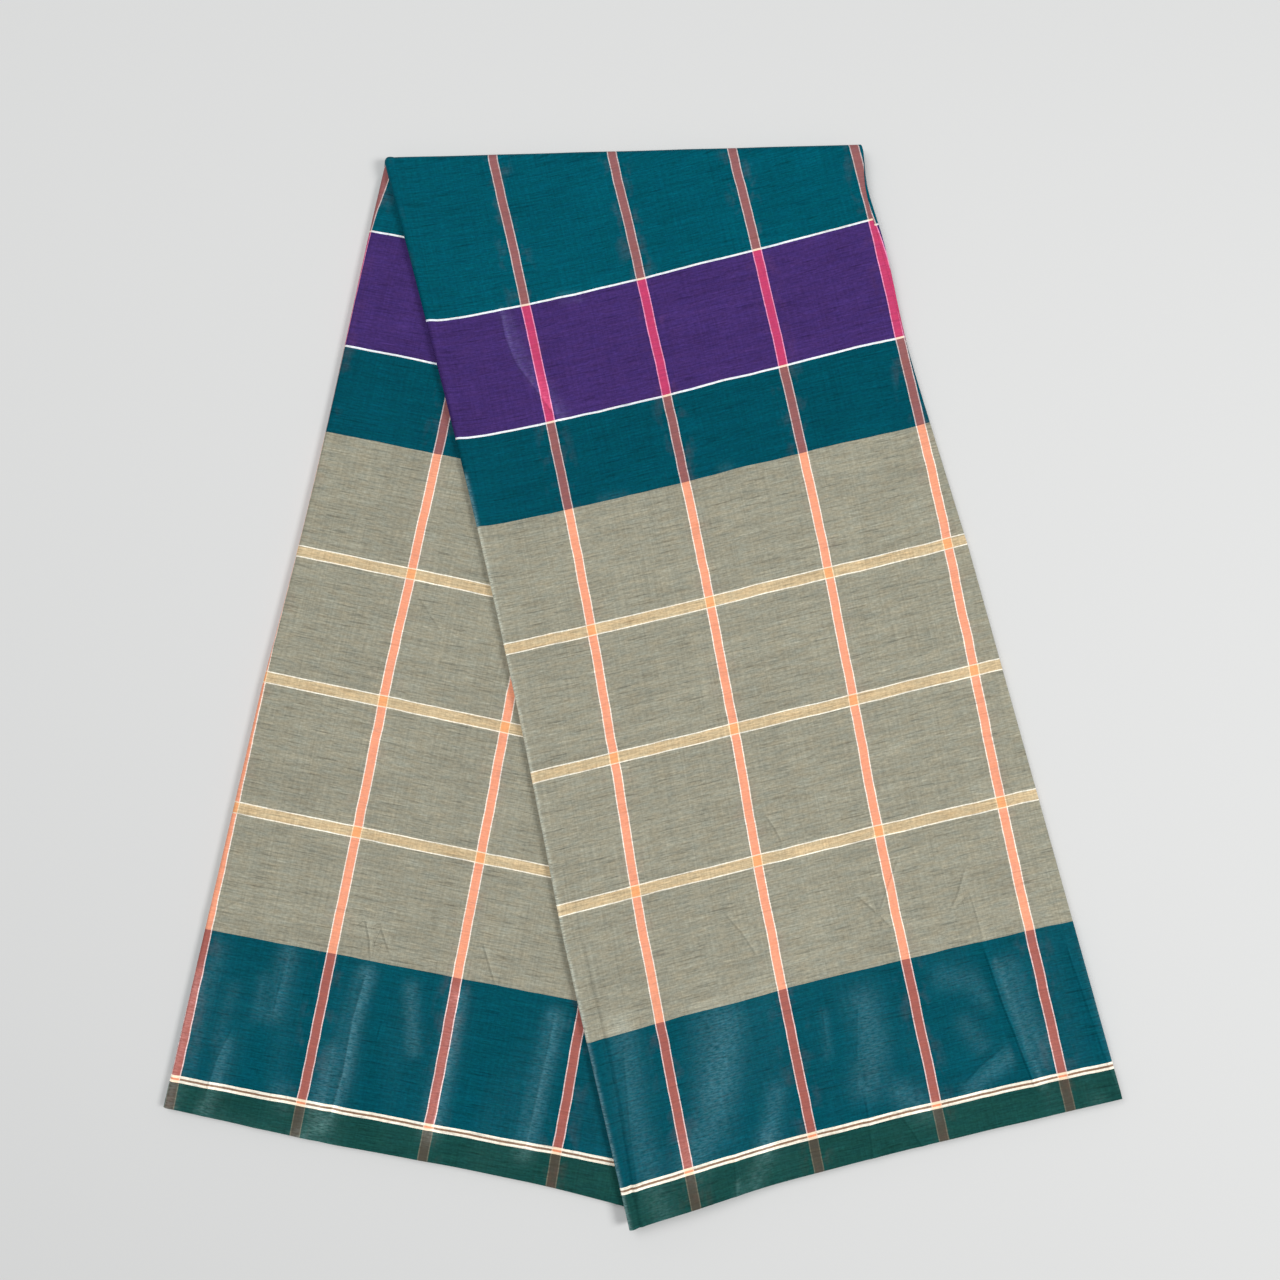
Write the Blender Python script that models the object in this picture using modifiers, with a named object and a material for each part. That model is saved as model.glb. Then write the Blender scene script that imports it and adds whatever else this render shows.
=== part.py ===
"""A longyi folded for keeping: a woven tube laid flat, folded lengthwise twice into an eight-layer
strip, then folded once across, so that one leaf lies askew on the other.

Metres, +Z up, resting on Z = 0. +Y runs towards the cross fold, +X to the side the upper leaf swings to.
The strip is worked out in its own coordinates: across from its rolled edge, along from the cross fold
(positive on the front leaf) and up through its thickness, and strip_point folds them into place.
"""

import math

import bmesh
import bpy

# The folded strip
STRIP_WIDTH = 0.257
FRONT_LENGTH = 0.585  # along the rolled edge, from the cross fold to the hem
BACK_LENGTH = 0.523
FOLD_SKEW = math.radians(12.35)  # how far the cross fold is from square to the strip
FOLD_RISE = math.radians(1.2)  # how far the cross fold is from parallel to +X

# The cloth
LEAF_THICKNESS = 0.0048
WALL = 0.0010
GAP = 0.0003
SLOPE_START = 0.013  # where the front leaf starts to come down, beyond the back leaf's open edge
SLOPE = 0.045  # the width over which it reaches the ground

# Each edge's bow inwards from a straight line: its depth, and the shares of the edge's length where it
# is deepest and where it ends
FRONT_ROLL_BOW = (0.0042, 0.42, 0.75)
FRONT_OPEN_BOW = (0.0015, 0.20, 0.42)
BACK_ROLL_BOW = (0.0022, 0.35, 0.58)
FRONT_HEM_BOW = (0.0029, 0.37, 1.0)
BACK_HEM_BOW = (0.0030, 0.70, 1.0)

# The hidden layers: the height of each terrace from mid-thickness, and how far the next one steps in
TERRACE_HEIGHTS = (0.00045, 0.00085, 0.0011)
TERRACE_STEPS = (0.00031, 0.00070)
HIDDEN_HALF_ROUND = 0.0010  # how far the hidden layers reach into the roll from its centre line
HIDDEN_SHORT_OF_HEM = 0.0008
HIDDEN_PAST_OPEN_EDGE = 0.0010

# Facets
COLUMNS = 20
PLAIN_COLUMNS = 4  # where every layer lies flat
FRONT_ROWS = 16
BACK_ROWS = 8
ROLL_STEPS = 6
BEND_ROWS = 8
DIAGONAL_SHEAR = 0.5

ROLL_RADIUS = LEAF_THICKNESS / 2
FOLD_HEIGHT = LEAF_THICKNESS + GAP / 2  # of the cross fold's axis
BEND = math.pi / 2 * (GAP / 2 + ROLL_RADIUS)  # half the arc's length at mid-thickness
FOLD_MARGIN = 0.001  # how far the fold's own wall runs on past the arc


def bow(share, depth, peak, end):
    """The inward bow of an edge at a share of its length."""
    reached = min(max(share / end, 0), 1)
    return depth * math.sin(math.pi * reached ** (math.log(0.5) / math.log(peak / end)))


def drop(along_fold, down):
    """How far the front leaf has come down, at a place seen from above."""
    past_side = along_fold * math.cos(FOLD_SKEW) + down * math.sin(FOLD_SKEW) - STRIP_WIDTH
    past_hem = down * math.cos(FOLD_SKEW) - along_fold * math.sin(FOLD_SKEW) - BACK_LENGTH
    share = min(max((max(past_side, past_hem) - SLOPE_START) / SLOPE, 0), 1)
    return (LEAF_THICKNESS + GAP) * share * share * (3 - 2 * share)


def bowed(across, along):
    """The place across the strip, once its edges are bowed."""
    share = across / STRIP_WIDTH
    if along > 0:
        rolled = bow(along / FRONT_LENGTH, *FRONT_ROLL_BOW)
        opened = bow(along / FRONT_LENGTH, *FRONT_OPEN_BOW)
    else:
        rolled = bow(-along / BACK_LENGTH, *BACK_ROLL_BOW)
        opened = 0
    return across + rolled * (1 - share) - opened * share


def strip_point(across, from_fold, height):
    """Folds a point of the strip into place. from_fold is square to the cross fold, and height is
    from mid-thickness, positive on the outside of the cross fold."""
    along = (from_fold + across * math.sin(FOLD_SKEW)) / math.cos(FOLD_SKEW)
    across = bowed(across, along)
    along_fold = across / math.cos(FOLD_SKEW) + from_fold * math.tan(FOLD_SKEW)
    radius = GAP / 2 + ROLL_RADIUS + height
    if abs(from_fold) < BEND:
        turn = from_fold / BEND * math.pi / 2
        down, up = -radius * math.cos(turn), radius * math.sin(turn)
    else:
        down, up = abs(from_fold) - BEND, math.copysign(radius, from_fold)
    if from_fold > 0:
        up -= drop(along_fold, down)
    return (
        along_fold * math.cos(FOLD_RISE) + down * math.sin(FOLD_RISE),
        along_fold * math.sin(FOLD_RISE) - down * math.cos(FOLD_RISE),
        FOLD_HEIGHT + up,
    )


def hem(across, front):
    """How far from the cross fold the hem of a leaf is."""
    share = across / STRIP_WIDTH
    if front:
        along = FRONT_LENGTH - bow(share, *FRONT_HEM_BOW)
    else:
        along = bow(share, *BACK_HEM_BOW) - BACK_LENGTH
    return along * math.cos(FOLD_SKEW) - across * math.sin(FOLD_SKEW)


def wall_section(columns):
    """(across, height) along the outermost layer, from its open edge over the roll and back."""
    flat = [STRIP_WIDTH + (ROLL_RADIUS - STRIP_WIDTH) * i / columns for i in range(columns)]
    turns = [math.pi / 2 + math.pi * i / ROLL_STEPS for i in range(ROLL_STEPS + 1)]
    roll = [(ROLL_RADIUS * (1 + math.cos(a)), ROLL_RADIUS * math.sin(a)) for a in turns]
    return [(a, ROLL_RADIUS) for a in flat] + roll + [(a, -ROLL_RADIUS) for a in reversed(flat)]


def split_along_slope(bm):
    """Triangulates a strip that is still flat, with every diagonal along the front leaf's slope, so
    that its layers nest. Sheared this far, that is the shorter diagonal of every face."""
    for vertex in bm.verts:
        vertex.co.x += vertex.co.y * DIAGONAL_SHEAR
    bmesh.ops.triangulate(bm, faces=bm.faces[:], quad_method="SHORT_EDGE")
    for vertex in bm.verts:
        vertex.co.x -= vertex.co.y * DIAGONAL_SHEAR


def fold_up(bm):
    for vertex in bm.verts:
        vertex.co = strip_point(*vertex.co)


def new_object(name, bm, collection, colour):
    mesh = bpy.data.meshes.new(name)
    bm.to_mesh(mesh)
    bm.free()
    material = bpy.data.materials.new(name)
    material.use_nodes = True
    shader = material.node_tree.nodes["Principled BSDF"]
    shader.inputs["Base Color"].default_value = (*colour, 1)
    shader.inputs["Roughness"].default_value = 0.8
    shader.inputs["Metallic"].default_value = 0
    mesh.materials.append(material)
    mesh.shade_smooth()
    mesh.set_sharp_from_angle(angle=math.radians(40))
    made = bpy.data.objects.new(name, mesh)
    collection.objects.link(made)
    return made


def cloth_wall(name, section, rows, place, collection, colour):
    """One stretch of the outermost layer: place gives how far from the cross fold a row is."""
    bm = bmesh.new()
    across = len(section) - 1
    bmesh.ops.create_grid(bm, x_segments=across, y_segments=rows, size=0.5)
    for vertex in bm.verts:
        column = round((vertex.co.x + 0.5) * across)
        row = round((vertex.co.y + 0.5) * rows)
        u, height = section[column]
        vertex.co = (u, place(u, row), height)
    split_along_slope(bm)
    fold_up(bm)
    made = new_object(name, bm, collection, colour)
    solidify = made.modifiers.new("Wall", "SOLIDIFY")
    solidify.thickness = WALL
    solidify.offset = -1
    solidify.use_even_offset = True
    return made


def hidden_layers(name, collection, colour):
    """The layers between the walls: terraces from mid-thickness up, mirrored below, then folded."""
    low = ROLL_RADIUS - HIDDEN_HALF_ROUND
    high = STRIP_WIDTH + HIDDEN_PAST_OPEN_EDGE
    rows = BACK_ROWS + BEND_ROWS + FRONT_ROWS
    bm = bmesh.new()
    bmesh.ops.create_grid(bm, x_segments=COLUMNS, y_segments=rows, size=0.5)
    for vertex in bm.verts:
        row = round((vertex.co.y + 0.5) * rows)
        share = vertex.co.x + 0.5
        vertex.co.x = low + (high - low) * share
        if row <= BACK_ROWS:
            end = hem(vertex.co.x, front=False) + HIDDEN_SHORT_OF_HEM
            vertex.co.y = end + (-BEND - end) * row / BACK_ROWS
        elif row < BACK_ROWS + BEND_ROWS:
            vertex.co.y = -BEND + 2 * BEND * (row - BACK_ROWS) / BEND_ROWS
        else:
            end = hem(vertex.co.x, front=True) - HIDDEN_SHORT_OF_HEM
            vertex.co.y = BEND + (end - BEND) * (row - BACK_ROWS - BEND_ROWS) / FRONT_ROWS
    split_along_slope(bm)
    top = bm.faces[:]
    reached = 0
    for level, step in zip(TERRACE_HEIGHTS, (*TERRACE_STEPS, 0)):
        raised = bmesh.ops.extrude_face_region(bm, geom=top)["geom"]
        bmesh.ops.delete(bm, geom=top, context="FACES_ONLY")
        top = [part for part in raised if isinstance(part, bmesh.types.BMFace)]
        points = {vertex for face in top for vertex in face.verts}
        bmesh.ops.translate(bm, vec=(0, 0, level - reached), verts=list(points))
        reached = level
        if step:
            bmesh.ops.inset_region(bm, faces=top, thickness=step, use_boundary=True, use_even_offset=True)
    bmesh.ops.mirror(bm, geom=bm.verts[:] + bm.edges[:] + bm.faces[:], axis="Z", merge_dist=1e-6)
    fold_up(bm)
    bmesh.ops.recalc_face_normals(bm, faces=bm.faces[:])
    return new_object(name, bm, collection, colour)


def front_place(u, row):
    start = BEND + FOLD_MARGIN + GAP
    return start + (hem(u, front=True) - start) * row / FRONT_ROWS


def back_place(u, row):
    start = -BEND - FOLD_MARGIN - GAP
    end = hem(u, front=False)
    return end + (start - end) * row / BACK_ROWS


def fold_place(_, row):
    """The arc's rows, with one flat row at either side."""
    turned = min(max(row - 1, 0), BEND_ROWS)
    margin = FOLD_MARGIN * (row - 1 - turned)
    return -BEND + 2 * BEND * turned / BEND_ROWS + margin


def centre(objects):
    """Puts the middle of the whole plan over the origin."""
    corners = [vertex.co for made in objects for vertex in made.data.vertices]
    middle = [(min(c[i] for c in corners) + max(c[i] for c in corners)) / 2 for i in (0, 1)]
    for made in objects:
        for vertex in made.data.vertices:
            vertex.co.x -= middle[0]
            vertex.co.y -= middle[1]


def main():
    for old in list(bpy.data.objects):
        bpy.data.objects.remove(old)
    longyi = bpy.data.collections.new("longyi")
    bpy.context.scene.collection.children.link(longyi)
    grey, teal, inner = (0.33, 0.32, 0.23), (0.0, 0.085, 0.107), (0.20, 0.19, 0.14)
    section, plain_section = wall_section(COLUMNS), wall_section(PLAIN_COLUMNS)
    made = [
        cloth_wall("front_leaf", section, FRONT_ROWS, front_place, longyi, grey),
        cloth_wall("top_fold", plain_section, BEND_ROWS + 2, fold_place, longyi, teal),
        cloth_wall("back_leaf", plain_section, BACK_ROWS, back_place, longyi, grey),
        hidden_layers("hidden_layers", longyi, inner),
    ]
    centre(made)


main()
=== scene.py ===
import math
import bmesh
import bpy
from mathutils import Matrix, Vector, noise


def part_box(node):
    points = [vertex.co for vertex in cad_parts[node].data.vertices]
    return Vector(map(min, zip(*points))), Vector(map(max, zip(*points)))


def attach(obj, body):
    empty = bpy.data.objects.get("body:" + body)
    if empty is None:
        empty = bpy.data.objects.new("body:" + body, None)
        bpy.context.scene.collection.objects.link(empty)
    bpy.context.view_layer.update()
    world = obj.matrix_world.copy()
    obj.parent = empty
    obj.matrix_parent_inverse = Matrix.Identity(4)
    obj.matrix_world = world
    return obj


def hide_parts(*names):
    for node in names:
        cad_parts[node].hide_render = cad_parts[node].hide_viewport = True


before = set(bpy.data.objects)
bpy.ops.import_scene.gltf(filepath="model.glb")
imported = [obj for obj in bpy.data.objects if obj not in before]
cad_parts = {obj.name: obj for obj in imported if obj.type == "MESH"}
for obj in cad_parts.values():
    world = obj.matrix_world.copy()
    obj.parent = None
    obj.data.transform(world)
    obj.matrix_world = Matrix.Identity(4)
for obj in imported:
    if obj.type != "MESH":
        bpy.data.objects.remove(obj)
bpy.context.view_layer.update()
print("frame loaded")

# The strip: a tube of cloth folded lengthwise to eight layers, then once across, on a slant. Metres.
strip = {
    "width": 0.257,
    "frontLength": 0.585,  # along the rolled edge, from the cross fold to the hem
    "backLength": 0.523,
    "skew": math.radians(12.35),  # how far the cross fold is from square to the strip
    "rise": math.radians(1.2),  # how far the cross fold is from parallel to +X
    "thickness": 0.0048,
    "gap": 0.0003,  # between the two leaves
    "slopeStart": 0.013,  # where the front leaf comes down, beyond the back leaf's edges
    "slope": 0.045,
    "cloth": 0.00035,
    "layers": 8,
    "pressedIn": 0.0025,  # how far the cross fold's edge is pressed in
    "pressedReach": 0.038,  # and how far below it that fades
}

# Each edge's bow inwards: its depth, and the shares of the edge where it is deepest and where it ends
bows = {
    "frontRoll": (0.0042, 0.42, 0.75),
    "frontOpen": (0.0034, 0.20, 0.50),
    "backRoll": (0.0022, 0.35, 0.58),
    "frontHem": (0.0029, 0.37, 1.0),
    "backHem": (0.0030, 0.70, 1.0),
}

flare = {"reach": 0.0050, "middle": 0.056, "length": 0.020}  # of the open edge at the cross fold

widthMm = strip["width"] * 1000
rollRadius = strip["thickness"] / 2
foldHeight = strip["thickness"] + strip["gap"] / 2  # of the cross fold's axis
bend = math.pi / 2 * (strip["gap"] / 2 + rollRadius)  # half the cross fold's arc, at mid-thickness
foldMargin = 0.001  # the flat cloth that the fold's own stretch keeps past its arc
skewSin, skewCos = math.sin(strip["skew"]), math.cos(strip["skew"])
riseSin, riseCos = math.sin(strip["rise"]), math.cos(strip["rise"])


def smooth(share):
    share = min(max(share, 0), 1)
    return share * share * (3 - 2 * share)


def ramp(value, start, end):
    # 0 at start and 1 at end, smooth between them
    return smooth((value - start) / (end - start))


def hump(value, middle, width):
    return math.exp(-((value - middle) / width) ** 2)


def bow(share, depth, peak, end):
    reached = min(max(share / end, 0), 1)
    return depth * math.sin(math.pi * reached ** (math.log(0.5) / math.log(peak / end)))


def bowed(across, along):
    share = across / strip["width"]
    if along > 0:
        rolled = bow(along / strip["frontLength"], *bows["frontRoll"])
        opened = bow(along / strip["frontLength"], *bows["frontOpen"])
        opened -= flare["reach"] * hump(along, flare["middle"], flare["length"])
    else:
        rolled = bow(-along / strip["backLength"], *bows["backRoll"])
        opened = 0
    return across + rolled * (1 - share) - opened * share


def drop(alongFold, down):
    # how far the front leaf has come down beyond the back leaf's edges
    pastSide = alongFold * skewCos + down * skewSin - strip["width"]
    pastHem = down * skewCos - alongFold * skewSin - strip["backLength"]
    share = (max(pastSide, pastHem) - strip["slopeStart"]) / strip["slope"]
    return (strip["thickness"] + strip["gap"]) * smooth(share)


def alongAt(across, fromFold):
    return (fromFold + across * skewSin) / skewCos


def rawPoint(across, fromFold, height):
    across = bowed(across, alongAt(across, fromFold))
    alongFold = across / skewCos + fromFold * skewSin / skewCos
    radius = strip["gap"] / 2 + rollRadius + height
    if abs(fromFold) < bend:
        turn = fromFold / bend * math.pi / 2
        down, up = -radius * math.cos(turn), radius * math.sin(turn)
    else:
        down, up = abs(fromFold) - bend, math.copysign(radius, fromFold)
    if fromFold > 0:
        up -= drop(alongFold, down)
    x = alongFold * riseCos + down * riseSin
    y = alongFold * riseSin - down * riseCos
    pressAndSheen = strip["pressedIn"] * hump(max(down, 0), 0, strip["pressedReach"])
    return Vector((x, y - pressAndSheen, foldHeight + up))


def hem(across, front):
    # how far from the cross fold a leaf's hem is
    share = across / strip["width"]
    if front:
        along = strip["frontLength"] - bow(share, *bows["frontHem"])
    else:
        along = bow(share, *bows["backHem"]) - strip["backLength"]
    return along * skewCos - across * skewSin


# How far the cloth's own hems stray from the frame's
hemStray = {
    "front": 0.0022,  # at the rolled edge
    "frontLoss": 0.0036,  # by the open edge
    "back": -0.0018,
    "backGrows": (0, 0.4),  # over this share of the width
}


def hemEdge(across, front):
    share = across / strip["width"]
    if front:
        stray = hemStray["front"] - hemStray["frontLoss"] * share
    else:
        stray = hemStray["back"] * ramp(share, *hemStray["backGrows"])
    return hem(across, front) + stray * skewCos


# The two hem corners at the rolled edge are the model's lowest x and lowest y
origin = Vector((
    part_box("back_leaf")[0].x - rawPoint(0, hem(0, False), 0).x,
    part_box("front_leaf")[0].y - rawPoint(0, hem(0, True), 0).y,
    0,
))


def stripPoint(across, fromFold, height):
    return rawPoint(across, fromFold, height) + origin


# Layers from the top down: 0 to 7, as heights from mid-thickness
topHeight = (strip["thickness"] - strip["cloth"]) / 2
layerHeights = [topHeight * (1 - 2 * i / (strip["layers"] - 1)) for i in range(strip["layers"])]


def traceFlat(section, end, cell):
    across, height, run = section[-1]
    count = max(round(abs(end - across) / cell), 1)
    for i in range(1, count + 1):
        place = across + (end - across) * i / count
        section.append((place, height, run + abs(place - across)))


def traceRound(section, toHeight, side, steps):
    # half a turn from one layer to another: side is 1 at the open edge and -1 at the roll
    across, height, run = section[-1]
    radius = abs(toHeight - height) / 2
    middle = (height + toHeight) / 2
    for i in range(1, steps + 1):
        turn = math.pi * i / steps
        place = across + side * radius * math.sin(turn)
        section.append((place, middle + (height - middle) * math.cos(turn), run + radius * turn))


def roundAt(upper, lower):
    # where a fold between two layers starts to turn, at the open edge
    return strip["width"] - abs(layerHeights[upper] - layerHeights[lower]) / 2


# The steps of each turn, and the finer cells beside the roll
turns = {"firstFold": 4, "roll": 14, "lastFold": 6, "innerRoll": 6, "innerFold": 5}
besideRoll = {"reach": 0.016, "cell": 0.0008}


def outerSection(topCell, bottomCell):
    # the outermost cloth: from layer 1 round to the top, over the roll, and under to layer 4
    section = [(roundAt(0, 1), layerHeights[1], 0)]
    traceRound(section, layerHeights[0], 1, turns["firstFold"])
    traceFlat(section, besideRoll["reach"], topCell)
    traceFlat(section, rollRadius, besideRoll["cell"])
    rollStart = section[-1][2]
    traceRound(section, layerHeights[7], -1, turns["roll"])
    traceFlat(section, roundAt(7, 4), bottomCell)
    traceRound(section, layerHeights[4], 1, turns["lastFold"])
    return [(across, height, rollRadius + rollStart - run) for across, height, run in section]


stripeAtFold = 0.5121  # a place round the cloth where a stripe runs


def innerSection(cell):
    # the layers inside, in the order that the cloth runs through them
    section = [(roundAt(7, 4), layerHeights[4], 0)]
    for layer, roll, opening in ((4, 3, 2), (2, 5, 6), (6, 1, None)):
        traceFlat(section, rollRadius, cell)
        traceRound(section, layerHeights[roll], -1, turns["innerRoll"])
        if opening is None:
            traceFlat(section, roundAt(0, 1), cell)
        else:
            outermost = roundAt(3, 2) if opening == 2 else roundAt(7, 4)
            traceFlat(section, outermost, cell)
            if opening == 2:
                secondFold = section[-1][2]
            traceRound(section, layerHeights[opening], 1, turns["innerFold"])
    return [(across, height, run + stripeAtFold - secondFold) for across, height, run in section]


# The plaid, as places along the cloth from the middle of its height, in millimetres
plaid = {
    "middle": 30.0,  # the cross fold's distance from the middle, at the rolled edge
    "pitch": 65.8,  # from one coral stripe to the next
    "firstStripe": 59.1,
    "stripeHalf": 2.68,  # half widths, with and without its pale edges
    "coreHalf": 2.12,
    "frontTop": 45,  # where the front leaf's stripes are measured from, and how far down
    "frontReach": 535,
    "frontLean": -0.0379,  # how far they lean to the roll, per unit of length
    "frontSqueeze": 0.033,
    "frontShift": (0.2, 6.7, -5.1),  # all over, by the share of the width, and by its square
    "frontFan": (3.8, -7.1),  # at the bottom, all over and by the share of the width
    "frontPinch": -0.9,
    "pinchShares": (0.75, 0.95),
    "pinchAt": (250, 70),
    "backShift": -0.8,
    "backStretch": 0.992,
    "backLean": 0.0175,
    "backLeanFrom": 280.0,
    "turnsOver": 60,  # the front leaf's stripes give way to the back leaf's over this length
}

# How far the bands stray from straight across, in millimetres
frontDrift = {
    "arch": 5.9,  # at the cross fold, and how much of it each millimetre down takes away
    "archLoss": 0.016,
    "archLeast": -2.3,
    "archSkew": 0.8,
    "curl": -1.6,  # at the rolled edge
    "curlReach": 7,
    "curlFades": (300, 150),
    "right": 1.3,  # in the upper right
    "rightShares": (0.55, 0.90),
    "rightFades": (330, 210),
    "left": 1.4,  # in the lower left
    "leftGrows": (430, 530),
    "low": 0.9,
    "lowAt": (492, 30),
}
backDrift = {
    "all": 1.6,
    "slope": 0.012,
    "slopeLoss": 0.030,
    "lossGrows": (300, 490),
    "low": -1.8,
    "lowAt": (432, 28),
}


def bandDrift(side, across, along):
    share = min(max(across / widthMm, 0), 1)
    if side > 0:
        arch = max(frontDrift["arch"] - frontDrift["archLoss"] * along, frontDrift["archLeast"])
        curl = frontDrift["curl"] * math.exp(-max(across, 0) / frontDrift["curlReach"])
        right = frontDrift["right"] * ramp(share, *frontDrift["rightShares"])
        left = frontDrift["left"] * (1 - share)
        drift = arch * math.sin(math.pi * share ** frontDrift["archSkew"])
        drift += curl * ramp(along, *frontDrift["curlFades"])
        drift += right * ramp(along, *frontDrift["rightFades"])
        drift += left * ramp(along, *frontDrift["leftGrows"])
        return drift + frontDrift["low"] * hump(along, *frontDrift["lowAt"])
    slope = backDrift["slope"] - backDrift["slopeLoss"] * ramp(along, *backDrift["lossGrows"])
    return backDrift["all"] + slope * across + backDrift["low"] * hump(along, *backDrift["lowAt"])


overRoll = (math.pi * topHeight - 2 * rollRadius) * 1000  # how much longer the way over the roll is


def frontStripes(across, along):
    # the place round the tube of a point on the front leaf, in millimetres
    share = min(max(across / widthMm, 0), 1)
    down = along - plaid["frontTop"]
    reached = down / plaid["frontReach"]
    leant = across - plaid["firstStripe"] - plaid["frontLean"] * down
    around = plaid["firstStripe"] + leant / (1 - plaid["frontSqueeze"] * reached)
    whole, sloped, curved = plaid["frontShift"]
    start, spread = plaid["frontFan"]
    around += whole + sloped * share + curved * share ** 2 + (start + spread * share) * reached
    pinch = plaid["frontPinch"] * ramp(share, *plaid["pinchShares"])
    return around + pinch * hump(along, *plaid["pinchAt"])


def threadPlace(signed, along):
    # the cloth's own coordinates in metres: round the tube, and from the middle of its height
    across, along = signed * 1000, along * 1000
    front = frontStripes(across, along)
    lean = plaid["backShift"] + plaid["backLean"] * max(-along - plaid["backLeanFrom"], 0)
    backAcross = -across - overRoll
    back = plaid["firstStripe"] - plaid["pitch"] + (lean - backAcross) * plaid["backStretch"]
    towardsBack = smooth(-along / plaid["turnsOver"])
    around = front + (back - front) * towardsBack
    upFront = along - plaid["middle"] - bandDrift(1, across, along)
    upBack = along - plaid["middle"] + bandDrift(-1, backAcross, -along)
    up = upFront + (upBack - upFront) * towardsBack
    return around / 1000, up / 1000


followLoss = 0.4  # by the open edge


def followed(across, along):
    # how far the front leaf's stripes follow its rolled edge's bow
    if along <= 0:
        return 0
    share = across / strip["width"]
    return bow(along / strip["frontLength"], *bows["frontRoll"]) * (1 - followLoss * share)


# Creases: points (across, along) in millimetres, half width, height
frontCreases = [
    ([(42, 104), (41, 120), (43, 136), (51, 155), (61, 180)], 2.6, 0.55),
    ([(149, 96), (200, 100), (247, 112)], 2.2, 0.25),
    ([(115, 401), (119, 411), (122, 422)], 1.8, 0.75),
    ([(150, 451), (158, 462), (167, 476)], 2.2, 0.60),
    ([(180, 439), (171, 452), (160, 468)], 2.2, 0.60),
    ([(196, 475), (203, 467), (212, 452)], 2.0, 0.65),
    ([(209, 462), (210, 479), (210, 495)], 2.4, 0.45),
    ([(83, 445), (90, 458), (96, 474)], 1.8, 0.55),
    ([(209, 494), (211, 524), (213, 542), (216, 570)], 2.2, 1.00),
    ([(179, 560), (192, 552), (207, 545)], 2.0, 0.80),
    ([(145, 563), (150, 574), (155, 588)], 2.2, 0.50),
    ([(60, 562), (58, 575), (54, 594)], 1.7, 0.45),
    ([(132, 550), (129, 572), (126, 596)], 2.0, 0.45),
    ([(250, 500), (252, 530), (254, 560), (256, 580)], 2.2, 0.50),
    ([(18, 500), (12, 539), (8, 577)], 3.2, 0.35),
    ([(121, 505), (118, 530)], 2.4, 0.35),
    ([(140, 505), (131, 538)], 2.6, 0.35),
]
backCreases = [
    ([(2, -424), (19, -412), (54, -410), (78, -410), (114, -409)], 1.8, 0.50),
    ([(2, -427), (34, -427), (63, -426)], 1.8, 0.25),
    ([(80, -407), (86, -421), (89, -432)], 1.7, 0.90),
    ([(88, -409), (95, -421), (99, -427)], 1.7, 0.75),
    ([(143, -409), (149, -420), (155, -431)], 2.0, 0.85),
    ([(70, -239), (80, -249), (90, -259)], 2.2, 0.40),
    ([(88, -436), (86, -462), (87, -488), (85, -514)], 2.6, 0.70),
    ([(102, -455), (100, -472)], 1.8, 0.50),
    ([(124, -503), (115, -508), (107, -513)], 1.8, 0.55),
    ([(98, -505), (93, -497)], 1.8, 0.45),
    ([(46, -435), (45, -470)], 2.6, 0.40),
    ([(27, -475), (22, -495), (20, -519)], 2.6, 0.50),
    ([(137, -439), (138, -475), (137, -510)], 2.6, 0.50),
    ([(188, -439), (187, -475), (186, -511)], 2.6, 0.45),
    ([(85, -520), (75, -533)], 2.4, 0.45),
]

# The hidden faces' creases are soft hollows, so that they still lie flat on what is under them
hiddenCreases = [
    ([(95, 150), (104, 205), (110, 260)], 8.0, 0.18),
    ([(180, 240), (176, 330)], 8.0, 0.16),
    ([(60, 470), (66, 580)], 7.0, 0.25),
    ([(150, 440), (140, 575)], 8.0, 0.25),
    ([(205, 500), (215, 590)], 7.0, 0.22),
    ([(80, -180), (90, -260)], 8.0, 0.18),
    ([(150, -250), (141, -330)], 8.0, 0.16),
    ([(40, -420), (44, -500)], 7.0, 0.25),
    ([(120, -440), (116, -520)], 7.0, 0.25),
    ([(190, -410), (196, -500)], 8.0, 0.22),
]

# Where a painted sheen lightens the cloth and turns it pale: points, half width, strength
frontSheen = [
    # the first is a painted highlight along the rolled edge
    ([(0.6, 190), (0.6, 600)], 1.1, 5.0),
    ([(20, 490), (15, 535), (17, 575), (20, 588)], 7.0, 0.75),
    ([(73, 500), (64, 524), (51, 548), (38, 562)], 9.0, 1.0),
    ([(60, 500), (55, 530)], 9.0, 0.5),
    ([(88, 540), (82, 554), (76, 567)], 4.5, 0.75),
    ([(78, 560), (70, 575), (64, 586)], 5.0, 0.8),
    ([(58, 578), (54, 596)], 1.8, 1.0),
    ([(30, 592), (26, 606)], 5.0, 0.7),
    ([(121, 508), (118, 528)], 2.5, 0.45),
    ([(142, 508), (141, 530), (133, 548)], 8.0, 0.9),
    ([(150, 555), (158, 566)], 6.0, 0.9),
    ([(185, 505), (199, 510), (204, 520)], 6.0, 0.55),
    ([(219, 508), (221, 532), (226, 554)], 6.0, 0.7),
    ([(213, 504), (215, 525), (217, 545), (220, 568)], 1.9, 1.0),
    ([(190, 530), (196, 545)], 5.0, 0.5),
    ([(183, 562), (195, 556), (209, 550)], 4.5, 0.9),
    ([(258, 505), (258, 540), (258, 578)], 1.8, 0.8),
    ([(262, 540), (263, 552)], 4.0, 0.7),
    ([(245, 582), (248, 592)], 4.0, 0.5),
    ([(76, 104), (87, 106)], 1.3, 0.5),
    ([(76, 109), (88, 110)], 1.3, 0.4),
    ([(45, 110), (47, 132), (55, 153), (62, 170)], 3.4, 0.45),
    ([(42, 104), (42, 120), (44, 136), (52, 155), (60, 172)], 1.3, 0.9),
    ([(70, 220), (83, 221)], 2.0, 0.4),
    ([(138, 220), (142, 220)], 2.5, 0.4),
]
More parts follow.
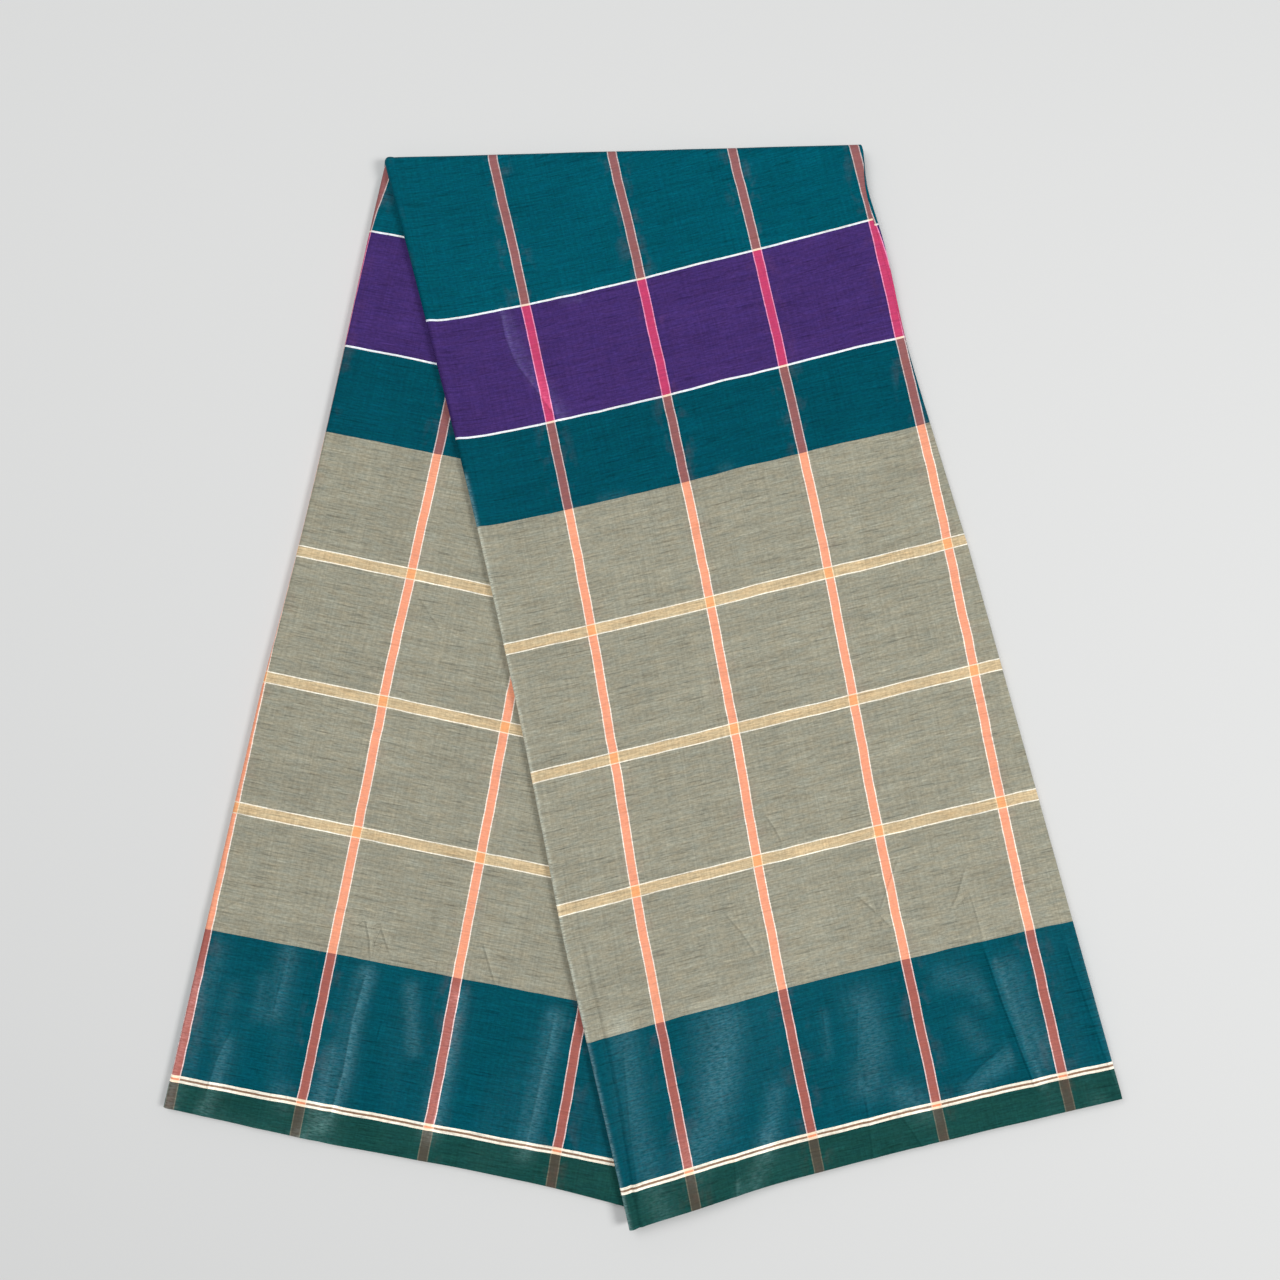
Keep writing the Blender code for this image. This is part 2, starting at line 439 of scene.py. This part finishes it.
backSheen = [
    ([(88, -438), (86, -462), (87, -488), (83, -516)], 4.2, 1.9),
    ([(80, -480), (76, -520), (72, -530)], 5.0, 1.0),
    ([(46, -436), (45, -466)], 5.0, 1.0),
    ([(24, -486), (24, -506), (21, -520)], 4.0, 1.2),
    ([(36, -450), (37, -470)], 2.5, 0.5),
    ([(22, -458), (20, -485)], 3.5, 0.4),
    ([(57, -503), (61, -510)], 4.5, 0.7),
    ([(137, -440), (138, -475), (137, -508)], 4.5, 1.8),
    ([(188, -440), (187, -475), (186, -508)], 4.5, 1.5),
    ([(112, -440), (120, -470)], 3.5, 1.0),
    ([(71, -524), (87, -526)], 4.0, 0.7),
    ([(24, -526), (60, -530)], 7.0, 0.5),
    ([(10, -440), (8, -500), (6, -520)], 5.0, 0.5),
    ([(3, -455), (1, -490), (0, -522)], 3.6, 1.5),
    ([(3, -528), (3, -536)], 4.0, 3.0),
]


def strokeHeight(strokes, across, along):
    # how high the strokes stand here, each with a soft round profile
    total = 0
    for points, width, height in strokes:
        nearest = 1e9
        for start, end in zip(points, points[1:]):
            run = (end[0] - start[0], end[1] - start[1])
            length = run[0] ** 2 + run[1] ** 2
            share = ((across - start[0]) * run[0] + (along - start[1]) * run[1]) / length
            share = min(max(share, 0), 1)
            gapAcross = across - start[0] - run[0] * share
            gapAlong = along - start[1] - run[1] * share
            nearest = min(nearest, gapAcross ** 2 + gapAlong ** 2)
        if nearest < 9 * width * width:
            total += height * math.exp(-nearest / width / width)
    return total


# In millimetres: "away" where there is no crease, how far a crease's ends fade, and its mark's sides
markReach = {"none": 30, "ends": 7, "sides": (6, 3)}


def creaseMark(creases, across, along):
    # how far the nearest crease is, positive on the side that faces the light, and its depth there
    down, away, depth = abs(along), markReach["none"], 0
    for points, width, height in creases:
        stations = [(u, abs(v)) for u, v in points]
        total = sum(math.dist(start, end) for start, end in zip(stations, stations[1:]))
        ran = 0
        for start, end in zip(stations, stations[1:]):
            run = (end[0] - start[0], end[1] - start[1])
            reach = (across - start[0], down - start[1])
            length = math.hypot(*run)
            share = min(max((reach[0] * run[0] + reach[1] * run[1]) / length ** 2, 0), 1)
            distance = math.hypot(reach[0] - run[0] * share, reach[1] - run[1] * share)
            if distance < abs(away):
                facing = 3 * run[1] - run[0]
                place = ran + share * length
                away = math.copysign(distance, (run[1] * reach[0] - run[0] * reach[1]) * facing)
                depth = height * smooth(min(place, total - place) / markReach["ends"])
                depth *= ramp(distance, *markReach["sides"])
            ran += length
    return away, depth


def swell(across, along, seed):
    # long low waves that run down the strip
    return noise.noise(Vector((across / 30, along / 130, seed)))


# The faces that show, in millimetres: a bead along the roll, a groove and a ridge beside it on the
# front leaf, and waves. Pairs are a place and a half width, or where something starts and is whole
frontFace = {
    "bead": 0.5,
    "beadAt": (3, 2.6),
    "groove": -0.75,
    "grooveFrom": 5.5,
    "grooveLean": 0.007,
    "grooveTurn": -4.5,
    "grooveTurns": (500, 590),
    "grooveWidth": 1.0,
    "ridge": 0.45,
    "ridgeBeside": 2.4,
    "ridgeWidth": 1.2,
    "upperDepth": 0.15,
    "deepens": (380, 510),
    "upperWaves": 0.25,
    "lowerWaves": 0.75,
    "wavesGrow": (380, 500),
    "waveSeed": 3.1,
}
backFace = {
    "bead": 0.25,
    "beadAt": (3, 2.6),
    "upperWaves": 0.22,
    "lowerWaves": 0.70,
    "wavesGrow": (360, 460),
    "waveSeed": 8.4,
}
waveEdge = 12  # the waves fade out over this width, towards the roll


def beadAndWaves(face, across, along):
    bead = face["bead"] * hump(across, *face["beadAt"])
    waves = face["upperWaves"] + face["lowerWaves"] * ramp(abs(along), *face["wavesGrow"])
    return bead + waves * (0.5 + swell(across, along, face["waveSeed"])) * smooth(across / waveEdge)


def frontLift(across, along):
    grooveAt = frontFace["grooveFrom"] + frontFace["grooveLean"] * along
    grooveAt += frontFace["grooveTurn"] * ramp(along, *frontFace["grooveTurns"])
    deep = frontFace["upperDepth"] + (1 - frontFace["upperDepth"]) * ramp(along, *frontFace["deepens"])
    groove = frontFace["groove"] * deep * hump(across, grooveAt, frontFace["grooveWidth"])
    ridgeAt = grooveAt + frontFace["ridgeBeside"]
    ridge = frontFace["ridge"] * deep * hump(across, ridgeAt, frontFace["ridgeWidth"])
    creased = strokeHeight(frontCreases, across, along)
    return beadAndWaves(frontFace, across, along) + groove + ridge + creased


def backLift(across, along):
    return beadAndWaves(backFace, across, along) + strokeHeight(backCreases, across, along)


# Loose painted sheen in streaks down the strip: on the hidden faces, and a trace of it on all lower bands
looseSheen = {
    "hidden": 2.25,
    "hiddenAbove": 0.12,
    "hiddenFiner": 1.6,
    "hiddenSeed": 5.7,
    "lower": 0.25,
    "lowerAbove": -0.1,
    "lowerFiner": (2, 1.4),
    "lowerSeed": 1.3,
    "lowerGrows": (400, 510),
}


def paintedSheen(across, along, height):
    # how much painted sheen lightens the face: listed where it shows
    across, along = across * 1000, along * 1000
    if (height > 0) == (along > 0):
        placed = strokeHeight(frontSheen if along > 0 else backSheen, across, along)
    else:
        streak = swell(across * looseSheen["hiddenFiner"], along, looseSheen["hiddenSeed"])
        placed = looseSheen["hidden"] * max(streak - looseSheen["hiddenAbove"], 0)
    finerAcross, finerAlong = looseSheen["lowerFiner"]
    trace = swell(across * finerAcross, along * finerAlong, looseSheen["lowerSeed"])
    trace = looseSheen["lower"] * max(trace - looseSheen["lowerAbove"], 0)
    return placed + trace * ramp(abs(along), *looseSheen["lowerGrows"])


def lifted(across, along, height):
    # the face that shows is lifted, with its share of the roll, and the hidden face is only hollowed
    side = 1 if along > 0 else -1
    share = side * height / topHeight
    acrossMm, alongMm = across * 1000, along * 1000
    if across > rollRadius:
        if share < -0.99:
            return height + side * strokeHeight(hiddenCreases, acrossMm, alongMm) / 1000
        if share < 0.99:
            return height
    rise = frontLift(acrossMm, alongMm) if side > 0 else backLift(acrossMm, alongMm)
    return height + side * max(share, 0) * rise / 1000


# The second fold shows past the first at the front leaf's open edge, below the cross fold
peek = {"reach": 0.0030, "middle": 0.118, "length": 0.042, "slip": 0.0025, "grows": (-0.030, -0.002)}


def clothSheet(name, section, rows, place, lift=True):
    # a grid whose columns follow the section and whose rows follow the strip, then folded up
    bm = bmesh.new()
    columns = len(section) - 1
    bmesh.ops.create_grid(bm, x_segments=columns, y_segments=rows, size=0.5)
    threads = {}
    sheenLayer = bm.verts.layers.float.new("paintedSheen")
    creaseAway = bm.verts.layers.float.new("creaseAway")
    creaseDepth = bm.verts.layers.float.new("creaseDepth")
    for vertex in bm.verts:
        column = round((vertex.co.x + 0.5) * columns)
        row = round((vertex.co.y + 0.5) * rows)
        across, height, signed = section[column]
        fromFold = place(across, height, row / rows)
        along = alongAt(across, fromFold)
        if not lift and 0 < height < layerHeights[2] + 0.00001:
            reached = ramp(across - strip["width"], *peek["grows"])
            across += peek["reach"] * reached * hump(along, peek["middle"], peek["length"])
        strayed = bowed(across, along) - across - followed(across, along)
        strayed *= min(max(height / topHeight, -1), 1)
        threads[vertex.index] = threadPlace(signed + strayed, along - (0 if lift else peek["slip"]))
        vertex[creaseAway] = markReach["none"]
        # painted sheen, and the crease marks that give the creases their bump, painted highlight and
        # painted shade
        if lift:
            vertex[sheenLayer] = paintedSheen(across, along, height)
            if (height > 0) == (along > 0):
                shown = frontCreases if along > 0 else backCreases
                away, depth = creaseMark(shown, across * 1000, along * 1000)
                vertex[creaseAway], vertex[creaseDepth] = away, depth
            height = lifted(across, along, height)
        vertex.co = stripPoint(across, fromFold, height)
    layer = bm.loops.layers.uv.new("thread")
    for face in bm.faces:
        for loop in face.loops:
            loop[layer].uv = threads[loop.vert.index]
    mesh = bpy.data.meshes.new(name)
    bm.to_mesh(mesh)
    bm.free()
    piece = bpy.data.objects.new(name, mesh)
    bpy.context.scene.collection.objects.link(piece)
    wall = piece.modifiers.new("cloth", "SOLIDIFY")
    wall.thickness = strip["cloth"]
    wall.offset = 0
    wall.use_even_offset = True
    graph = bpy.context.evaluated_depsgraph_get()
    solid = bpy.data.meshes.new_from_object(piece.evaluated_get(graph))
    piece.modifiers.clear()
    piece.data = solid
    solid.shade_smooth()
    solid.set_sharp_from_angle(angle=math.radians(50))
    return piece


def frontPlace(across, height, share):
    start = bend + foldMargin
    return start + (hemEdge(across, True) - start) * share


def foldPlace(across, height, share):
    reach = bend + foldMargin
    return -reach + 2 * reach * share


def backPlace(across, height, share):
    end = hemEdge(across, False)
    return end + (-bend - foldMargin - end) * share


innerRows = {"count": 110, "back": 24 / 110, "front": 38 / 110}  # rows crowd at the cross fold
innerEnds = {"short": 0.0004, "ragged": 0.0006, "byHeight": 2600, "byWidth": 9}


def innerPlace(across, height, share):
    # every layer ends a little short of the hem
    wander = math.sin(innerEnds["byHeight"] * height + innerEnds["byWidth"] * across / strip["width"])
    short = innerEnds["short"] + innerEnds["ragged"] * (0.5 + 0.5 * wander)
    start, end = hemEdge(across, False) + short, hemEdge(across, True) - short
    back, front = innerRows["back"], innerRows["front"]
    if share < back:
        return start + (-bend - start) * share / back
    if share < front:
        return -bend + 2 * bend * (share - back) / (front - back)
    return bend + (end - bend) * (share - front) / (1 - front)


# Colours as 8-bit sRGB
def linear(red, green, blue):
    shares = [value / 255 for value in (red, green, blue)]
    return tuple(s / 12.92 if s <= 0.04045 else ((s + 0.055) / 1.055) ** 2.4 for s in shares) + (1,)


# Each yarn's colour on its own, where a coral stripe crosses it, and where the stripe's pale edge does
yarns = {
    "teal": ((0, 84, 99), (151, 98, 98), (205, 188, 186)),
    "deepTeal": ((0, 76, 90), (149, 96, 95), (205, 188, 186)),
    "purple": ((68, 47, 107), (200, 67, 110), (238, 150, 186)),
    "grey": ((155, 152, 134), (250, 166, 132), (255, 238, 222)),
    "lowerTeal": ((3, 79, 92), (170, 99, 90), (232, 202, 198)),
    "hemGreen": ((24, 73, 68), (80, 76, 66), (104, 104, 90)),
    "white": ((244, 248, 250), (255, 225, 200), (255, 235, 225)),
    "cream": ((255, 246, 226), (255, 228, 196), (255, 238, 218)),
    "golden": ((209, 186, 147), (252, 176, 120), (255, 222, 180)),
    "brown": ((146, 114, 92), (240, 150, 110), (240, 190, 160)),
}

# Outwards from the middle of the cloth's height, in millimetres: where each ground starts,
# and the lines' middles with their half widths and those of their cores
grounds = (
    (0, "teal"),
    (72.0, "purple"),
    (140.2, "deepTeal"),
    (189.7, "grey"),
    (462.0, "lowerTeal"),
    (536.4, "hemGreen"),
)
lines = (
    ((72.0, 140.2), 0.55, 0, "white", None),
    ((256.8, 326.2, 396.3), 3.2, 2.6, "cream", "golden"),
    ((536.4,), 1.75, 0.5, "cream", "brown"),
)


def addNode(tree, kind, inputs=None, **settings):
    node = tree.nodes.new(kind)
    for name, value in settings.items():
        setattr(node, name, value)
    for socket, value in (inputs or {}).items():
        if isinstance(value, bpy.types.NodeSocket):
            tree.links.new(value, node.inputs[socket])
        else:
            node.inputs[socket].default_value = value
    return node


def maths(tree, operation, *values):
    return addNode(tree, "ShaderNodeMath", dict(enumerate(values)), operation=operation).outputs[0]


def remap(tree, value, low, high, newLow, newHigh):
    node = addNode(tree, "ShaderNodeMapRange", {0: value, 1: low, 2: high, 3: newLow, 4: newHigh})
    return node.outputs[0]


def mixColours(tree, share, first, second, blend="MIX"):
    node = addNode(tree, "ShaderNodeMix", data_type="RGBA", blend_type=blend)
    for socket, value in ((0, share), (6, first), (7, second)):
        if isinstance(value, bpy.types.NodeSocket):
            tree.links.new(value, node.inputs[socket])
        else:
            node.inputs[socket].default_value = value
    return node.outputs[2]


def greyColour(tree, value):
    return addNode(tree, "ShaderNodeCombineColor", {0: value, 1: value, 2: value}).outputs[0]


def nearestLine(tree, up, middles):
    nearest = None
    for middle in middles:
        away = maths(tree, "ABSOLUTE", maths(tree, "SUBTRACT", up, float(middle)))
        nearest = away if nearest is None else maths(tree, "MINIMUM", nearest, away)
    return nearest


def bandMasks(tree, up):
    # (where it shows, yarn) from the ground up
    masks = [(maths(tree, "GREATER_THAN", up, float(start)), yarn) for start, yarn in grounds[1:]]
    for middles, half, core, outer, inner in lines:
        away = nearestLine(tree, up, middles)
        masks.append((maths(tree, "LESS_THAN", away, half), outer))
        if inner:
            masks.append((maths(tree, "LESS_THAN", away, core), inner))
    return masks


def bandColours(tree, masks, column):
    colour = linear(*yarns[grounds[0][1]][column])
    for mask, yarn in masks:
        colour = mixColours(tree, mask, colour, linear(*yarns[yarn][column]))
    return colour


def streaks(tree, around, up, length, width, detail=2.0, shift=0):
    # noise drawn out along the thread: length round the tube, width up it, in millimetres
    if shift:
        around = maths(tree, "ADD", around, shift)
    place = addNode(tree, "ShaderNodeCombineXYZ", {
        0: maths(tree, "DIVIDE", around, length), 1: maths(tree, "DIVIDE", up, width)})
    node = addNode(tree, "ShaderNodeTexNoise", {
        "Vector": place.outputs[0], "Scale": 1.0, "Detail": detail, "Roughness": 0.6},
        noise_dimensions="2D")
    return node.outputs[0]


# How the threads vary the tone: each noise as streaks takes it, then the part of its range that is
# used and the darkest and lightest tones that this gives
threadTones = {
    "weft": ((24, 0.75, 3.0), (0.30, 0.70, 0.84, 1.14)),
    "slubs": ((19, 1.25, 1.5), (0.25, 0.37, 0.72, 1.0)),
    "bright": ((12, 1.3, 1.0, 311.0), (0.70, 0.80, 1.0, 1.22)),
    "grain": ((2.2, 0.9, 3.0), (0.25, 0.75, 0.80, 1.20)),
    "warp": ((0.9, 45, 2.0), (0.25, 0.75, 0.91, 1.09)),
    "broad": ((90, 6.0, 3.0), (0.25, 0.75, 0.93, 1.07)),
    "patches": ((22, 30, 2.0), (0.3, 0.7, 0.965, 1.035)),
}
finish = {
    "wander": (-0.5, 0.5),  # of the lines' and the stripes' edges, in millimetres
    "stripeTones": 0.45,  # the stripes are this much as uneven as the grounds
    "cast": (-0.05, 0.05),  # from cool to warm
    "bled": (170, 96, 84),  # dye that has run a little beside the coral stripes
    "bleed": (0.0, 0.16),
    "bleedFades": (3.0, 11.0),
    "creaseRise": (-1.1, 0.2),  # in millimetres, from a crease's foot, darkened with painted shade, to its crest, lightened with a painted highlight
    "creaseFade": -1.8,
    # how much a crease's crest is lightened, a painted highlight, and at most how much its foot is
    # darkened, a painted shade
    "creaseHighlight": 0.28,
    "footShadeCap": 0.55,
    "sheenThreads": (0.25, 1.60),  # how far the threads break the painted sheen up
    # the painted sheen: how much it lightens the colour, how far it turns it pale and to what tint, and
    # how much smoother it makes the surface
    "sheenLighten": 0.30,
    "sheenPaling": 0.062,
    "sheenTint": (176, 196, 198),
    "sheenSmooth": 0.10,
    "roughness": (0.48, 0.60),
    "weavePitch": 0.42,  # plain weave, in millimetres
    "weaveRelief": 0.25,
}


def plaidCotton():
    material = bpy.data.materials.new("plaidCotton")
    material.use_nodes = True
    tree = material.node_tree
    tree.nodes.clear()
    thread = addNode(tree, "ShaderNodeUVMap", uv_map="thread")
    split = addNode(tree, "ShaderNodeSeparateXYZ", {0: thread.outputs[0]})
    around = maths(tree, "MULTIPLY", split.outputs[0], 1000.0)
    up = maths(tree, "MULTIPLY", split.outputs[1], 1000.0)

    wanderUp = remap(tree, streaks(tree, around, up, 30, 400), 0, 1, *finish["wander"])
    wanderAround = remap(tree, streaks(tree, around, up, 300, 25), 0, 1, *finish["wander"])
    masks = bandMasks(tree, maths(tree, "ADD", maths(tree, "ABSOLUTE", up), wanderUp))
    fromFirst = maths(tree, "SUBTRACT", around, plaid["firstStripe"])
    fromFirst = maths(tree, "ADD", fromFirst, wanderAround)
    fromStripe = maths(tree, "PINGPONG", fromFirst, plaid["pitch"] / 2)
    onStripe = maths(tree, "LESS_THAN", fromStripe, plaid["stripeHalf"])
    onCore = maths(tree, "LESS_THAN", fromStripe, plaid["coreHalf"])

    ground, core, edge = [bandColours(tree, masks, column) for column in (0, 1, 2)]
    colour = mixColours(tree, onStripe, ground, edge)
    colour = mixColours(tree, onCore, colour, core)

    patterns = {name: streaks(tree, around, up, *noise) for name, (noise, _) in threadTones.items()}
    tones = [remap(tree, patterns[name], *span) for name, (_, span) in threadTones.items()]
    tone = tones[0]
    for other in tones[1:]:
        tone = maths(tree, "MULTIPLY", tone, other)
    evener = remap(tree, onCore, 0, 1, 1.0, finish["stripeTones"])
    tone = maths(tree, "SUBTRACT", tone, 1.0)
    tone = maths(tree, "ADD", 1.0, maths(tree, "MULTIPLY", tone, evener))
    cast = remap(tree, streaks(tree, around, up, 9, 2.5, 3.0, 83.0), 0.25, 0.75, *finish["cast"])
    warm = maths(tree, "MULTIPLY", tone, maths(tree, "ADD", 1.0, cast))
    cool = maths(tree, "MULTIPLY", tone, maths(tree, "SUBTRACT", 1.0, cast))
    shade = addNode(tree, "ShaderNodeCombineColor", {0: warm, 1: tone, 2: cool}).outputs[0]

    bleed = remap(tree, streaks(tree, around, up, 10, 15, 3.0, 47.0), 0.52, 0.90, *finish["bleed"])
    beside = remap(tree, fromStripe, *finish["bleedFades"], 1.0, 0.0)
    colour = mixColours(tree, maths(tree, "MULTIPLY", bleed, beside), colour, linear(*finish["bled"]))
    colour = mixColours(tree, 1.0, colour, shade, "MULTIPLY")

    # a crease rises from its foot to its crest, and fades out on the side that faces the light: this sets
    # its bump and its painted highlight
    creaseAway = addNode(tree, "ShaderNodeAttribute", attribute_name="creaseAway").outputs["Fac"]
    creaseDepth = addNode(tree, "ShaderNodeAttribute", attribute_name="creaseDepth").outputs["Fac"]
    rising = remap(tree, creaseAway, *finish["creaseRise"], 0.0, 1.0)
    unrisen = maths(tree, "SUBTRACT", 1.0, rising)
    falling = maths(tree, "DIVIDE", maths(tree, "MAXIMUM", creaseAway, 0.0), finish["creaseFade"])
    falling = maths(tree, "EXPONENT", falling)
    creased = maths(tree, "MULTIPLY", creaseDepth, maths(tree, "MULTIPLY", rising, falling))

    # the painted sheen, broken up by the threads, and none on a crease's dark side, where shade is painted
    pressAndSheen = addNode(tree, "ShaderNodeAttribute", attribute_name="paintedSheen").outputs["Fac"]
    shadedSide = maths(tree, "MULTIPLY", unrisen, maths(tree, "MINIMUM", creaseDepth, 1.0))
    pressAndSheen = maths(tree, "MULTIPLY", pressAndSheen, maths(tree, "SUBTRACT", 1.0, shadedSide))
    threads = streaks(tree, around, up, 3.0, 0.8, 3.0)
    threads = remap(tree, threads, 0.30, 0.70, *finish["sheenThreads"])
    pressAndSheen = maths(tree, "MULTIPLY", pressAndSheen, threads)

    # the painted sheen and the creases' painted highlights lighten the colour, and the sheen turns it pale
    sheenLighten = maths(tree, "MULTIPLY", pressAndSheen, finish["sheenLighten"])
    creaseHighlight = maths(tree, "MULTIPLY", creased, finish["creaseHighlight"])
    paintedLight = maths(tree, "ADD", 1.0, maths(tree, "ADD", sheenLighten, creaseHighlight))
    colour = mixColours(tree, 1.0, colour, greyColour(tree, paintedLight), "MULTIPLY")
    sheenPale = maths(tree, "MULTIPLY", pressAndSheen, finish["sheenPaling"])
    colour = mixColours(tree, sheenPale, colour, linear(*finish["sheenTint"]))

    # painted shade at a crease's foot
    footShade = maths(tree, "MULTIPLY", rising, unrisen)
    footShade = maths(tree, "MULTIPLY", maths(tree, "MINIMUM", creaseDepth, finish["footShadeCap"]), footShade)
    paintedShade = maths(tree, "SUBTRACT", 1.0, footShade)
    colour = mixColours(tree, 1.0, colour, greyColour(tree, paintedShade), "MULTIPLY")

    turn = 2 * math.pi / finish["weavePitch"]
    overAround = maths(tree, "SINE", maths(tree, "MULTIPLY", around, turn))
    overUp = maths(tree, "SINE", maths(tree, "MULTIPLY", up, turn))
    weave = maths(tree, "MULTIPLY", overAround, overUp)
    relief = maths(tree, "MULTIPLY", weave, finish["weaveRelief"])
    relief = maths(tree, "ADD", relief, patterns["weft"])
    threadBump = addNode(tree, "ShaderNodeBump", {
        "Strength": 0.35,
        "Distance": 0.0002,
        "Height": relief,
    })
    creaseBump = addNode(tree, "ShaderNodeBump", {
        "Strength": 1.0,
        "Distance": 0.0007,
        "Height": creased,
        "Normal": threadBump.outputs[0],
    })
    rough = remap(tree, patterns["weft"], 0.2, 0.8, *finish["roughness"])
    rough = maths(tree, "SUBTRACT", rough, maths(tree, "MULTIPLY", pressAndSheen, finish["sheenSmooth"]))
    shader = addNode(tree, "ShaderNodeBsdfPrincipled", {
        "Base Color": colour,
        "Roughness": rough,
        "Normal": creaseBump.outputs[0],
        "Specular IOR Level": 0.02,
    })
    addNode(tree, "ShaderNodeOutputMaterial", {0: shader.outputs[0]})
    return material


cotton = plaidCotton()

# Each piece's cells across the strip, on the top and underneath, and its rows along the strip
frontCells = {"top": 0.0022, "bottom": 0.009, "rows": 260}
frontSection = outerSection(frontCells["top"], frontCells["bottom"])
frontPiece = clothSheet("frontCloth", frontSection, frontCells["rows"], frontPlace)
print("front leaf made")

foldCells = {"top": 0.0023, "bottom": 0.0026, "rows": 24}
foldSection = outerSection(foldCells["top"], foldCells["bottom"])
foldPiece = clothSheet("foldCloth", foldSection, foldCells["rows"], foldPlace)
print("cross fold made")

backCells = {"top": 0.006, "bottom": 0.0026, "rows": 200}
backSection = outerSection(backCells["top"], backCells["bottom"])
backPiece = clothSheet("backCloth", backSection, backCells["rows"], backPlace)
print("back leaf made")

innerCell = 0.007
innerPiece = clothSheet("innerLayers", innerSection(innerCell), innerRows["count"], innerPlace, lift=False)
print("inner layers made")

for piece in (frontPiece, foldPiece, backPiece, innerPiece):
    piece.data.materials.clear()
    piece.data.materials.append(cotton)
    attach(piece, "root")
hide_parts("front_leaf")
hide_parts("top_fold")
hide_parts("back_leaf")
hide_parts("hidden_layers")

# The room: a pale floor, a soft key from the right, and a broad soft light overhead
room = {
    "floor": (0.70, 0.70, 0.69, 1),
    "floorRoughness": 0.9,
    "floorTop": -0.0006,  # clear of the cloth's underside
    "key": {"place": (1.25, -0.3, 1.5), "size": 0.6, "power": 20.2},
    "overhead": {"place": (-0.6, 0.45, 1.8), "size": 1.2, "power": 20},
    "sky": 0.26,
    "skyColour": (0.93, 0.96, 1.0, 1),
}


def softLight(name, place, size, power):
    lamp = bpy.data.lights.new(name, "AREA")
    lamp.shape = "SQUARE"
    lamp.size = size
    lamp.energy = power
    holder = bpy.data.objects.new(name, lamp)
    holder.location = place
    holder.rotation_euler = (-Vector(place)).to_track_quat("-Z", "Y").to_euler()
    bpy.context.scene.collection.objects.link(holder)


floorMesh = bpy.data.meshes.new("floor")
bm = bmesh.new()
bmesh.ops.create_grid(bm, x_segments=1, y_segments=1, size=3)
bmesh.ops.translate(bm, vec=(0, 0, room["floorTop"]), verts=bm.verts[:])
bm.to_mesh(floorMesh)
bm.free()
floor = bpy.data.objects.new("floor", floorMesh)
bpy.context.scene.collection.objects.link(floor)
paint = bpy.data.materials.new("floorPaint")
paint.use_nodes = True
painted = paint.node_tree.nodes["Principled BSDF"]
painted.inputs["Base Color"].default_value = room["floor"]
painted.inputs["Roughness"].default_value = room["floorRoughness"]
floorMesh.materials.append(paint)

softLight("key", **room["key"])
softLight("overhead", **room["overhead"])
world = bpy.data.worlds.new("room")
bpy.context.scene.world = world
world.use_nodes = True
sky = world.node_tree.nodes["Background"]
sky.inputs["Color"].default_value = room["skyColour"]
sky.inputs["Strength"].default_value = room["sky"]

# Seen from nearly straight above, a little from the hem side
view = {"place": (0.0096, -0.0776, 0.6793), "target": (-0.0005, 0.00865, 0), "lens": 36, "sensor": 36}
camera = bpy.data.objects.new("camera", bpy.data.cameras.new("camera"))
camera.data.lens = view["lens"]
camera.data.sensor_width = view["sensor"]
camera.location = view["place"]
ahead = (Vector(view["target"]) - Vector(view["place"])).normalized()
right = ahead.cross(Vector((0, 1, 0))).normalized()
camera.rotation_euler = Matrix((right, right.cross(ahead), -ahead)).transposed().to_euler()
bpy.context.scene.collection.objects.link(camera)
bpy.context.scene.camera = camera
bpy.context.scene.view_settings.view_transform = "Standard"
print("room lit")
